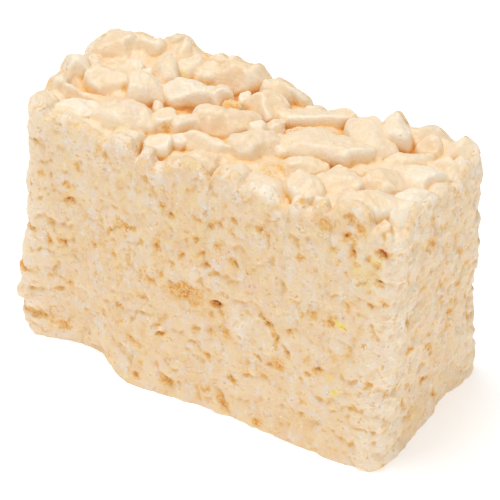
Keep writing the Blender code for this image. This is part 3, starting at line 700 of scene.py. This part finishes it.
# The skin: a tube of rows from the base's middle up the sides and in under the top's edge. Its
# sides are lifted by the soft maximum of the pads and the filling, with noise added and pits taken.
def buildSkin(material):
    column = skinColumns()
    spot, way = outlineAt(column)
    height, rim = block["height"], skin["rim"]

    # The cut ends where the top's height is, taken a little way in
    edge = np.clip(topHeight(spot - way * skin["rimInset"])[0], skin["rimLowest"], skin["rimHighest"])
    edge += height

    # Rows, from the base's middle out, up the side, round the rim and in under the grains: share of
    # the outline, distance in from it, share of the side's height, height past it, and how far up
    # the way out points
    base = np.linspace(0, 1, skin["baseRows"] + 2)[1:-1] ** skin["baseSpacing"]
    side = np.linspace(0, 1, skin["sideRows"])
    angle = np.linspace(0, math.pi / 2, skin["rimRows"] + 1)[1:]
    under = np.array([*skin["underInsets"], skin["capInset"], skin["capInset"]])
    inset = np.concatenate([base * 0, side * 0, rim * (1 - np.cos(angle)), under])
    share = np.concatenate([base, side * 0 + 1, angle * 0 + 1, under[:-1] * 0 + 1, [0.5]])
    level = np.concatenate([base * 0, side, angle * 0 + 1, under * 0])
    past = np.concatenate([base * 0, side * 0, rim * np.sin(angle), under * 0])
    up = np.concatenate([base * 0 - 1, side * 0, np.sin(angle), under * 0 + 1])
    sideTop = edge - rim
    cap = height - skin["underCap"]
    capped = (inset > rim * 1.01)[:, None]
    z = np.where(capped, cap, sideTop * level[:, None]) + past[:, None]
    for row, (reach, sink) in enumerate(zip(skin["underInsets"], skin["underSinks"]), -len(under)):
        z[row] = height + topHeight(spot - way * reach)[0] - sink

    plan = (spot[None] - way[None] * inset[:, None, None]) * share[:, None, None]
    surface = np.concatenate([plan, z[..., None]], -1)
    flat = np.sqrt(1 - up**2)[:, None, None]
    upward = np.broadcast_to(up[:, None, None], (*z.shape, 1))
    normal = np.concatenate([np.broadcast_to(way[None], plan.shape) * flat, upward], -1)

    warp = 0
    for size, reach in skin["warps"]:
        warp = warp + reach * noiseWays(surface, size, 61, 3)
    near = edgeNearness(column)[None, :]
    soft = SoftTop(z.shape, skin["softness"])
    draw = random.Random(pits["seed"] + 1)
    for distance, middleLevel, halfLength, halfWidth, turn in sideLaid:
        lift = draw.uniform(*skin["padLift"])
        atEdge = edgeNearness(np.array([distance]))[0]
        lift += atEdge * draw.uniform(*skin["edgeSpread"]) * skin["edgeLift"]
        layPad(soft, surface, warp, column, distance, middleLevel, halfLength, halfWidth, turn, lift,
               draw.random())
    level, swing, size = skin["fill"]
    fill = level + swing * noiseAt(surface, size, 31) + near * skin["edgeFill"]
    soft.raiseTo(np.ones(z.shape, bool), fill.ravel())
    lift = soft.height()
    lift = np.where(lift > 0, lift * skin["cutKeep"], lift)
    for index, (size, swing) in enumerate(skin["swells"]):
        lift += swing * noiseAt(surface, size, 71 + index)
    size, swing, drawn = skin["streaks"]
    streaked = smoothStep(way[:, 0], 0.5, 0.9)[None, :]  # where the way out points right
    lift += streaked * swing * noiseAt(surface * (1, 1, drawn), size, 35)
    hole, halo = pitDepth(surface, column)
    lift += skin["stand"] - hole

    onSide = smoothStep(z, 0.0, skin["footFade"]) * (up >= 0)[:, None] * (1 - capped)
    # Painted shade: the lower a point lies than what is round it, the more amber and brown it is painted.
    hollowShade = np.clip((blurred(lift, skin["hollowPasses"]) - lift) / skin["hollowDepth"], 0, 1) * onSide
    everywhere, added = skin["keep"]
    lift = lift * (everywhere + added * onSide) + bulgeHeight(surface, column)
    shift = np.where((up >= 0)[:, None], lift, 0) * (1 - up[:, None])
    points = surface + normal * shift[..., None]
    points[..., 2] = np.where(up[:, None] < 0, 0, np.maximum(points[..., 2], 0))
    points = drawToCorners(points)

    poles = drawToCorners(np.array([[0, 0, 0.0], [0, 0, cap]]))
    allPoints = np.concatenate([poles[:1], points.reshape(-1, 3), poles[1:]])
    faces = tubeFaces(*z.shape)[:, ::-1]
    values = {"hollowShade": hollowShade, "tint": soft.tint(), "cut": onSide * np.ones(z.shape)}
    for kind in ("amber", "white", "yellow"):
        values[kind] = stainStrength(surface, column, stains[kind]) * onSide
    values["amber"] = np.maximum(values["amber"], halo * onSide)
    values["white"] = np.maximum(values["white"], near * skin["edgeWhite"] * onSide)
    values["rim"] = smoothStep(z - edge[None, :], *skin["rimMask"]) * onSide
    values = {name: np.concatenate([[0], numbers.ravel(), [0]]) for name, numbers in values.items()}
    sides = slice(skin["baseRows"] + 4, skin["baseRows"] + skin["sideRows"])
    ways = np.concatenate([way, np.zeros((len(way), 1))], -1)
    return addPiece("cutBlock", allPoints, faces, values, material), points[sides], ways


# The rows and columns of the skin that lie near a place on its sides or rim.
def skinNear(surface, column, distance, level, reachAlong, reachUp):
    columns = np.nonzero(np.abs(alongGap(column, distance)) < reachAlong)[0]
    if not len(columns):
        return None
    rows = slice(skin["baseRows"], skin["baseRows"] + skin["sideRows"] + skin["rimRows"])
    high = np.abs(surface[rows, columns, 2].mean(axis=1) - level) < reachUp
    levels = np.nonzero(high)[0] + rows.start
    return np.ix_(levels, columns) if len(levels) else None


# A pad is one grain's cut face. Its height falls from the middle as the elliptical distance to a
# power, with an outline that noise bends. Round an edge it bulges a little towards its own plane.
def layPad(soft, surface, warp, column, distance, level, reachLong, reachWide, turn, lift, tint):
    alongReach, upReach = skin["padReach"]
    where = skinNear(surface, column, distance, level, reachLong * alongReach, reachLong * upReach)
    if where is None:
        return
    spot, way = outlineAt(np.array([distance % around]))
    out = np.array([*way[0], 0.0])
    along = np.array([-way[0][1], way[0][0], 0.0])
    longWay = along * math.cos(turn) + np.array([0, 0, math.sin(turn)])
    wideWay = np.cross(out, longWay)
    offset = surface[where] - np.array([*spot[0], level])
    bent = offset + warp[where]
    u, v = bent @ longWay / reachLong, bent @ wideWay / reachWide
    w = bent @ out / reachWide
    power = skin["padRoundness"]
    ratio = (np.abs(u) ** power + np.abs(v) ** power + np.abs(w) ** power) ** (1 / power)
    rise = lift - skin["padFall"] * ratio ** skin["padPower"]
    bulge = np.minimum(-skin["padBulge"] * (offset @ out), skin["edgeLift"])
    soft.raiseTo(where, np.maximum(rise + bulge, skin["padLowest"]), tint)


# Elliptical distance of the skin's points from a mark, and where the mark reaches.
def markRatio(surface, column, mark, bend):
    distance, level, halfLength, halfWidth, turn = mark
    reach = 2.0 * max(halfLength, halfWidth) + 2 * pits["haloWidth"]
    where = skinNear(surface, column, distance % around, level, reach, reach)
    if where is None:
        return None, None
    u = alongGap(column, distance % around)[where[1]] + bend[where][..., 0]
    v = surface[where][..., 2] - level + bend[where][..., 1]
    along = (u * math.cos(turn) + v * math.sin(turn)) / halfLength
    across = (v * math.cos(turn) - u * math.sin(turn)) / halfWidth
    return where, (along, across)


# Pits: dents of a bent elliptical outline, round at the bottom, more of them where noise is high.
def pitDepth(surface, column):
    draw = random.Random(pits["seed"])
    chosen = []
    for distance, level, halfLength, halfWidth, turn, depth in pits["marked"]:
        place = [value * mm for value in (distance, level, halfLength, max(halfWidth, pits["narrowest"]))]
        depth = depth * mm * pits["markedDepth"]
        chosen.append(((*place, math.radians(turn)), depth, 0.0, pits["markedHalo"]))
    while len(chosen) < pits["number"] + len(pits["marked"]):
        distance = draw.uniform(0, around)
        level = draw.uniform(pits["lowest"], block["height"] - pits["topGap"])
        spot, _ = outlineAt(np.array([distance]))
        crowd = noiseAt(np.array([[*spot[0], level]]), pits["crowding"], 34)[0]
        if draw.uniform(*pits["crowd"]) > crowd:
            continue
        size = draw.random() ** 2
        low, high = pits["halfWidth"]
        width = low + (high - low) * size
        turn, stretch = draw.uniform(0, math.pi), draw.uniform(*pits["stretch"])
        depth = draw.uniform(*pits["depth"]) * (0.4 + 0.6 * size)  # small ones are shallower
        mark = (distance, level, width * stretch, width, turn)
        chosen.append((mark, depth, draw.uniform(-pits["bow"], pits["bow"]), draw.uniform(*pits["halo"])))
    bend = pits["bendReach"] * noiseWays(surface, pits["bendSize"], 81, 2)
    hole = np.zeros(surface.shape[:2])
    halo = np.zeros(surface.shape[:2])
    for mark, depth, bow, strength in chosen:
        where, ratios = markRatio(surface, column, mark, bend)
        if where is None:
            continue
        along, across = ratios
        across = across + bow * along**2
        away = along**2 + across**2
        hole[where] = np.maximum(hole[where], depth * np.exp(-(away ** pits["steepness"])))
        wide = [mark[2] / (mark[2] + pits["haloWidth"]), mark[3] / (mark[3] + pits["haloWidth"])]
        away = (along * wide[0]) ** 2 + (across * wide[1]) ** 2
        spread = np.exp(-(away ** pits["haloSteepness"]))
        halo[where] = np.maximum(halo[where], strength * spread)
    return hole, halo


# Broad bulges and hollows at the marked places: bells across and up, added up.
def bulgeHeight(surface, column):
    total = 0
    for distance, level, halfLength, halfHeight, out in skin["bulges"]:
        along = alongGap(column, distance * mm % around) / (halfLength * mm)
        upward = (surface[..., 2] - level * mm) / (halfHeight * mm)
        total = total + out * np.exp(-(along[None] ** 2) - upward**2)
    return total


# Stains: e to minus a power of the elliptical distance, with outlines that noise bends.
def stainStrength(surface, column, marks):
    bend = stains["bendReach"] * noiseWays(surface, stains["bendSize"], 84, 2)
    strength = np.zeros(surface.shape[:2])
    for distance, level, halfLength, halfWidth, turn, amount in marks:
        mark = (distance * mm, level * mm, halfLength * mm, halfWidth * mm, math.radians(turn))
        where, ratios = markRatio(surface, column, mark, bend)
        if where is not None:
            away = ratios[0] ** 2 + ratios[1] ** 2
            spread = np.exp(-(away ** stains["steepness"]))
            strength[where] = np.maximum(strength[where], amount * spread)
    return strength


# The top as one sheet. A loop across the block, its upper side at the top's height and its lower
# side inside, carried along X.
def buildTop(material):
    reachX = half[0] - top["endInset"]
    narrow = 1 - top["edgeStrip"]  # a narrow first and last strip keeps the shading level to the edge
    x = reachX * np.concatenate([[-1], narrow * np.linspace(-1, 1, top["alongSteps"]), [1]])
    y = np.concatenate([[-1], narrow * np.linspace(-1, 1, top["acrossSteps"]), [1]])
    probe = np.stack(np.meshgrid(x, half[1] * y, indexing="ij"), -1)
    scale = np.ones((len(x), 2))
    for side, sign in enumerate((-1, 1)):
        for end in (-1, 1):
            radius = block["edgeRadii"][(end, sign)]
            past = np.maximum(end * x - (half[0] - radius), 0)
            lost = radius - np.sqrt(np.maximum(radius**2 - past**2, 0))
            on = end * x > half[0] - radius
            scale[on, side] = (half[1] - lost[on]) / half[1]
    inner = 1 - top["endInset"] / half[1]
    probe[..., 1] *= np.where(y < 0, scale[:, :1], scale[:, 1:]) * inner
    height, tint = topHeight(probe)
    atEdge = 1 - smoothStep(-planDistance(probe)[0], top["endInset"], top["edgeReach"])
    height -= top["edgeSink"] * atEdge
    upper = np.concatenate([probe, (height + block["height"])[..., None]], -1)
    under = np.linspace(1, -1, top["underSteps"])
    lower = np.zeros((len(x), len(under), 3))
    lower[..., 0] = x[:, None]
    lower[..., 1] = upper[:, -1:, 1] * (under > 0) * under - upper[:, :1, 1] * (under <= 0) * under
    lower[..., 2] = block["height"] - top["thickness"]
    loop = np.concatenate([upper, lower], 1)
    flat = np.concatenate([probe, np.zeros((*height.shape, 1))], -1)
    # Painted shade for the crevices: deep ones by their depth, and any by how far they lie below what is
    # round them.
    deepShade = smoothStep(-height - rimDrop(flat) * topGrains["rimShare"], *top["hollowFrom"])
    spots = {}
    low = smoothStep(-height, 0.0, top["spotDepth"])
    # Amber spots are painted shade: full only where the top lies low between the grains.
    for kind in ("amber", "yellow"):  # bells, weaker on crowns
        spots[kind] = np.zeros(height.shape)
        for placeX, placeY, reach, amount in top[kind]:
            away = np.linalg.norm(probe - np.array([placeX, placeY]) * mm, axis=-1) / (reach * mm)
            spots[kind] = np.maximum(spots[kind], amount * np.exp(-(away**2)) * (0.3 + 0.7 * low))
    sunk = (blurred(height, top["hollowPasses"], closed=False) - height) / top["hollowDepth"]
    endLoops = loop[[0, -1]].copy()  # one more at each end, level, so that the end closes upright
    endLoops[:, :len(y), 2] = block["height"] - top["thickness"] + top["endRise"]
    points = drawToCorners(np.concatenate([endLoops[:1], loop, endLoops[1:]]))
    ends = points[[0, -1]].mean(axis=1)
    allPoints = np.concatenate([ends[:1], points.reshape(-1, 3), ends[1:]])
    faces = tubeFaces(*points.shape[:2])[:, ::-1]
    # Painted light: points of the top that stand above what is round them are painted pale.
    values = {"tint": tint, "hollowShade": np.clip(np.clip(sunk, 0, 1) + deepShade * top["deepShadeShare"], 0, 1),
              "proud": np.clip(-sunk, 0, 1), **spots}
    values = {label: np.pad(np.pad(numbers, ((1, 1), (0, len(under)))).ravel(), 1)
              for label, numbers in values.items()}
    addPiece("grainTop", allPoints, faces, values, material)
    return points[1:-1, 2:len(y) - 2]


# Crumbs that stick to the sides and the top: ellipsoids of few faces, each point drawn in or out a
# little. They sit on points of the surface.
crumbs = {
    "onSides": 520,
    "onTop": 90,
    "halfSize": (0.00007, 0.00022),
    "stretch": (1.0, 1.8),
    "flatness": (0.5, 0.8),
    "rough": 0.4,
    "sunk": 0.3,    # how deep they sit, in half sizes
    "white": 0.5,
    "rings": 4,
    "sides": 6,
    "seed": 61,
}


def buildCrumbs(material, sidePoints, sideWays, topPoints):
    draw = random.Random(crumbs["seed"])
    rings, sides = crumbs["rings"], crumbs["sides"]
    angle = np.linspace(0, math.pi, rings + 2)[:, None]
    turn = np.linspace(0, 2 * math.pi, sides, endpoint=False)[None, :]
    ball = np.stack([np.cos(angle) + 0 * turn, np.sin(angle) * np.cos(turn),
                     np.sin(angle) * np.sin(turn)], -1)
    ball = np.concatenate([ball[:1, 0], ball[1:-1].reshape(-1, 3), ball[-1:, 0]])
    number = crumbs["onSides"] + crumbs["onTop"]
    points, tints = [], []
    for index in range(number):
        low, high = crumbs["halfSize"]
        size = low + (high - low) * draw.random() ** 2
        onSide = index < crumbs["onSides"]
        place = sidePoints if onSide else topPoints
        row, column = draw.randrange(place.shape[0]), draw.randrange(place.shape[1])
        out = sideWays[column] if onSide else np.array([0.0, 0.0, 1.0])
        middle = place[row, column] - out * size * crumbs["sunk"]
        longWay = np.cross(out, [draw.gauss(0, 1), draw.gauss(0, 1), draw.gauss(0, 1)])
        longWay /= np.linalg.norm(longWay)
        ways = np.array([longWay, np.cross(out, longWay), out])
        halves = [draw.uniform(*crumbs["stretch"]), 1.0, draw.uniform(*crumbs["flatness"])]
        halves = size * np.array(halves)
        lumpy = 1 + crumbs["rough"] * (np.random.default_rng(index).random(len(ball)) - 0.5)
        points.append((ball * lumpy[:, None] * halves) @ ways + middle)
        tints.append(np.full(len(ball), draw.random()))
    each = tubeFaces(rings, sides)
    faces = np.concatenate([each + index * len(ball) for index in range(number)])
    values = {"tint": np.concatenate(tints), "white": np.full(len(ball) * number, crumbs["white"])}
    addPiece("crumbs", np.concatenate(points), faces, values, material)


# A node socket whose sums and products add Math nodes, so that masks read as plain sums.
class Link:
    def __init__(self, maker, socket):
        self.maker = maker
        self.socket = socket

    def math(self, operation, *others, clamp=False):
        return self.maker.node("ShaderNodeMath", {"operation": operation, "use_clamp": clamp},
                               dict(enumerate([self, *others])))

    def __add__(self, other):
        return self.math("ADD", other)

    def __sub__(self, other):
        return self.math("SUBTRACT", other)

    def __rsub__(self, other):
        return self.maker.node("ShaderNodeMath", {"operation": "SUBTRACT"}, {0: other, 1: self})

    def __mul__(self, other):
        return self.math("MULTIPLY", other)

    __radd__ = __add__
    __rmul__ = __mul__

    def between(self, low, high):
        return self.maker.node("ShaderNodeMapRange", {"interpolation_type": "SMOOTHSTEP"},
                               {"Value": self, "From Min": low, "From Max": high})


# A material, with one method that adds any node and others for the kinds used most.
class Finish:
    def __init__(self, name):
        self.material = bpy.data.materials.new(name)
        self.material.use_nodes = True
        self.tree = self.material.node_tree
        self.tree.nodes.clear()

    def node(self, kind, settings=None, sockets=None, output=0):
        made = self.tree.nodes.new(kind)
        for name, value in (settings or {}).items():
            setattr(made, name, value)
        for key, value in (sockets or {}).items():
            if isinstance(value, Link):
                self.tree.links.new(value.socket, made.inputs[key])
            else:
                made.inputs[key].default_value = value
        return Link(self, made.outputs[output]) if made.outputs else None

    def mix(self, share, first, second):
        return self.node("ShaderNodeMix", {"data_type": "RGBA"}, {0: share, 6: first, 7: second}, output=2)

    def value(self, name):
        return self.node("ShaderNodeAttribute", {"attribute_name": name}, output=2)

    def noise(self, where, size, detail):
        return self.node("ShaderNodeTexNoise", {}, {"Vector": where, "Scale": 1 / size,
                         "Detail": detail, "Roughness": 0.55})


# A colour as seen, 0 to 255, turned into the values that the renderer counts in.
def linear(red, green, blue):
    parts = [value / 255 for value in (red, green, blue)]
    return (*[p / 12.92 if p <= 0.04045 else ((p + 0.055) / 1.055) ** 2.4 for p in parts], 1.0)


# Colours and their sizes for the coated rice. Colours as seen, 0 to 255.
rice = {
    "cream": linear(245, 223, 192),
    "peach": linear(239, 206, 164),
    "pale": linear(250, 236, 215),
    "cutCream": linear(244, 219, 187),
    "cutPeach": linear(238, 201, 156),
    "chalk": linear(238, 225, 209),
    "white": linear(252, 245, 234),
    "rose": linear(242, 214, 192),
    # Gold, amber and the darkest brown also serve as painted shade: in the hollows, and amber in the pores
    # too.
    "gold": linear(236, 186, 104),
    "amber": linear(222, 140, 58),
    "shadeBrown": linear(200, 104, 40),
    "yellow": linear(250, 228, 90),
    "straw": linear(244, 219, 164),
    "patchSize": 0.0038,
    "cellSize": 0.0017,
    "mottleSize": 0.0010,
    "fineSize": 0.00036,
    "poreSize": 0.00075,
    "speckSize": 0.00026,
    "streakSize": 0.0015,
    "streakDraw": (1, 1, 0.5),
    "bumpDepth": 0.00030,
    "subsurfaceRadius": (1.0, 0.76, 0.48),
    "subsurfaceScale": 0.0006,
}


# Rice: colours laid over each other, each where a smooth step of summed noises and of the numbers
# on the points says.
def riceFinish(name, look):
    finish = Finish(name)
    where = finish.node("ShaderNodeTexCoord", output=3)
    hollowShade, tint, cut, rim, proud, marked, yellow, amber = (finish.value(label) for label in (
        "hollowShade", "tint", "cut", "rim", "proud", "white", "yellow", "amber"))
    patches = finish.noise(where, rice["patchSize"], 2.0)
    blots = finish.noise(where, rice["cellSize"], 2.0)
    mottle = finish.noise(where, rice["mottleSize"], 3.0)
    fine = finish.noise(where, rice["fineSize"], 2.0)
    darker = (tint * look["tint"] + patches * 1.3 + blots * 0.5 + look["peach"]).between(0.80, 1.45)
    base = finish.mix(darker, rice[look["light"]], rice[look["dark"]])
    drawn = finish.node("ShaderNodeVectorMath", {"operation": "MULTIPLY"},
                        {0: where, 1: rice["streakDraw"]})
    streaks = finish.noise(drawn, rice["streakSize"], 3.0)
    ragged = (mottle + fine * 0.5).between(0.55, 0.85)
    white = marked * (ragged * 0.6 + 0.4) + rim * (blots - 0.5).between(0.0, 0.12) * 0.6
    specks = finish.noise(where, rice["speckSize"], 1.0).between(0.64, 0.72)

    # Pores: tiny dents made by the bump only, with painted shade in amber inside them.
    cells = finish.node("ShaderNodeTexVoronoi", {"feature": "F1"},
                        {"Vector": where, "Scale": 1 / rice["poreSize"], "Randomness": 1.0})
    pores = (1 - cells.between(0.08, 0.30)) * (blots + mottle * 0.5).between(0.76, 0.92)
    pores = pores * cut * look["pores"]

    torn = (mottle * 0.7 + fine * 0.8).between(0.62, 0.92)
    flecks = (fine * 0.7 + mottle + blots * 0.5).between(1.16, 1.44) * look["flecks"]
    stainAndShade = (amber * (torn * 0.65 + 0.35)).math("MAXIMUM", flecks)
    # Painted shade in the hollows, laid over the real stains in gold and amber.
    deepShade = (hollowShade * 1.15 + (fine - 0.5) * 0.5 * hollowShade).math("MULTIPLY", 1.0, clamp=True)
    stainAndShade = (deepShade * look["amber"]).math("MAXIMUM", stainAndShade)

    # Each coat covers the ones before it, as far as its share says
    coats = (
        ((1 - tint.between(0.0, 0.24)) * look["whole"], "pale"),
        ((blots * 1.2 - patches * 0.5 + mottle * 0.4).between(0.52, 0.78) * look["rose"], "rose"),
        ((mottle * 0.9 + blots * 0.9 - tint * 0.15).between(0.96, 1.16) * look["pale"], "chalk"),
        ((streaks + blots * 0.5 + patches * 0.6).between(0.94, 1.30) * look["streaks"], "chalk"),
        ((fine * 0.9 + mottle * 0.7 - blots * 0.5).between(0.48, 0.72) * look["straw"], "straw"),
        # Painted light on the top's crowns, in pale.
        (proud.between(0.0, 0.4) * look["proud"], "pale"),
        (white.math("MINIMUM", 0.9), "pale"),
        (yellow * 0.9, "yellow"),
        (specks * (streaks + mottle).between(0.95, 1.15) * look["specks"], "white"),
        # Gold and amber: real stains, and painted shade in the hollows.
        (stainAndShade.between(0.04, 0.50) * 0.90, "gold"),
        (stainAndShade.between(0.42, 0.85) * 0.85, "amber"),
        # Painted shade: dark brown in the deepest hollows.
        (deepShade.between(0.70, 1.0) * look["shadeBrown"], "shadeBrown"),
        # Painted shade in the pores.
        (pores * 0.45, "amber"),
    )
    for share, colour in coats:
        base = finish.mix(share, base, rice[colour])

    low, high = look["roughness"]
    roughness = (mottle * (high - low) + low + pores * 0.15).math("MINIMUM", 1.0)
    relief = mottle * 0.5 + fine * 0.65 - pores * 0.4
    bump = finish.node("ShaderNodeBump", {}, {"Strength": look["bump"], "Distance": rice["bumpDepth"],
                                             "Height": relief})
    shader = finish.node("ShaderNodeBsdfPrincipled", {"subsurface_method": "RANDOM_WALK"}, {
        "Base Color": base,
        "Roughness": roughness,
        "Normal": bump,
        "Subsurface Weight": look["subsurface"],
        "Subsurface Radius": rice["subsurfaceRadius"],
        "Subsurface Scale": rice["subsurfaceScale"],
        "Specular IOR Level": 0.35,
    })
    finish.node("ShaderNodeOutputMaterial", {}, {"Surface": shader})
    return finish.material


# Looks of the pieces: their two base colours, how strongly each other colour and mark shows, how strongly
# the painted shade in hollows and the painted light on crowns show, and how rough, bumpy and see-through
# they are.
cutLook = {
    "light": "cutCream", "dark": "cutPeach", "tint": 0.4, "peach": 0.10, "whole": 0.0, "rose": 0.4,
    "pale": 0.8, "straw": 0.6, "proud": 0.0, "streaks": 0.8, "amber": 0.8, "shadeBrown": 0.9, "pores": 0.8,
    "flecks": 0.5, "specks": 0.9, "bump": 1.0, "roughness": (0.45, 0.66), "subsurface": 0.25,
}
coatLook = {
    "light": "cream", "dark": "peach", "tint": 0.8, "peach": -0.36, "whole": 0.9, "rose": 0.3,
    "pale": 0.6, "straw": 0.3, "proud": 0.9, "streaks": 0.0, "amber": 0.60, "shadeBrown": 0.35, "pores": 0.0,
    "flecks": 0.0, "specks": 0.3, "bump": 0.5, "roughness": (0.30, 0.50), "subsurface": 0.25,
}
crumbLook = {
    "light": "cutCream", "dark": "cutPeach", "tint": 0.5, "peach": 0.0, "whole": 0.0, "rose": 0.4,
    "pale": 0.9, "straw": 0.3, "proud": 0.0, "streaks": 0.0, "amber": 0.0, "shadeBrown": 0.0, "pores": 0.0,
    "flecks": 0.0, "specks": 0.0, "bump": 0.5, "roughness": (0.45, 0.66), "subsurface": 0.0,
}

cutBlock, sidePoints, sideWays = buildSkin(riceFinish("cutRice", cutLook))
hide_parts("rice_crispy_treat")
topPoints = buildTop(riceFinish("coatedRice", coatLook))
buildCrumbs(riceFinish("crumbRice", crumbLook), sidePoints, sideWays, topPoints)
print("pieces built")

# Camera: its lens and place come from the perspective of the block's edges.
camera = {
    "azimuth": 31.78,
    "elevation": 37.55,
    "distance": 0.23273,
    "target": (0.0, 0.0, 0.0185),
    "focalPixels": 1800,
    "framePixels": 500,
    "sensor": 36.0,
    "offsetPixels": (3.8, 9.7),  # how far the frame's middle lies right of and below the target
}


# Looks along the azimuth and elevation, turned a little so that the target lies off the middle.
def addCamera():
    azimuth, elevation = math.radians(camera["azimuth"]), math.radians(camera["elevation"])
    back = Vector((math.sin(azimuth) * math.cos(elevation), -math.cos(azimuth) * math.cos(elevation),
                   math.sin(elevation)))
    right = Vector((math.cos(azimuth), math.sin(azimuth), 0))
    up = back.cross(right)
    across, down = (pixels / camera["focalPixels"] for pixels in camera["offsetPixels"])
    looking = -back + right * across - up * down
    data = bpy.data.cameras.new("camera")
    data.sensor_width = camera["sensor"]
    data.lens = camera["focalPixels"] / camera["framePixels"] * camera["sensor"]
    data.clip_start, data.clip_end = 0.01, 10
    obj = addObject("camera", data)
    obj.location = Vector(camera["target"]) + Vector((*block["planShift"], 0)) + back * camera["distance"]
    obj.rotation_euler = looking.to_track_quat("-Z", "Y").to_euler()
    bpy.context.scene.camera = obj


# Stage: a pale floor, a bright even surround and two soft lamps.
stage = {
    "floorSize": 12.0,
    "floorGap": 0.00002,  # keeps it clear of the base
    "floorColour": (0.86, 0.86, 0.86, 1),
    "floorGlow": 0.35,
    "surround": 0.505,
    "lamps": (
        {"name": "keyLamp", "place": (-0.20, -0.08, 0.85), "size": 0.50, "power": 4.25},
        {"name": "fillLamp", "place": (0.62, -0.30, 0.42), "size": 0.50, "power": 0.7},
    ),
    "aim": (0.0, 0.0, 0.02),
}


# The floor is one large square; each lamp is turned from its place to the aim.
def addStage():
    finish = Finish("paleFloor")
    where = finish.node("ShaderNodeTexCoord", output=3)
    soft = finish.noise(where, 0.4, 1.0)
    shader = finish.node("ShaderNodeBsdfPrincipled", {}, {
        "Base Color": stage["floorColour"], "Roughness": soft * 0.05 + 0.8,
        "Emission Color": (1, 1, 1, 1), "Emission Strength": stage["floorGlow"],
        "Specular IOR Level": 0.1})
    finish.node("ShaderNodeOutputMaterial", {}, {"Surface": shader})
    reach = stage["floorSize"] / 2
    mesh = bpy.data.meshes.new("floor")
    mesh.from_pydata([(-reach, -reach, 0), (reach, -reach, 0), (reach, reach, 0), (-reach, reach, 0)], [],
                     [(0, 1, 2, 3)])
    mesh.materials.append(finish.material)
    floor = addObject("floor", mesh)
    floor.location.z = -stage["floorGap"]

    world = bpy.data.worlds.new("surround")
    world.use_nodes = True
    background = world.node_tree.nodes["Background"]
    background.inputs["Color"].default_value = (1, 1, 1, 1)
    background.inputs["Strength"].default_value = stage["surround"]
    bpy.context.scene.world = world
    for lamp in stage["lamps"]:
        data = bpy.data.lights.new(lamp["name"], "AREA")
        data.shape = "DISK"
        data.size = lamp["size"]
        data.energy = lamp["power"]
        obj = addObject(lamp["name"], data)
        obj.location = lamp["place"]
        aim = Vector(stage["aim"]) - Vector(lamp["place"])
        obj.rotation_euler = aim.to_track_quat("-Z", "Y").to_euler()
    bpy.context.scene.view_settings.view_transform = "Standard"


addCamera()
addStage()
print("camera and stage set")
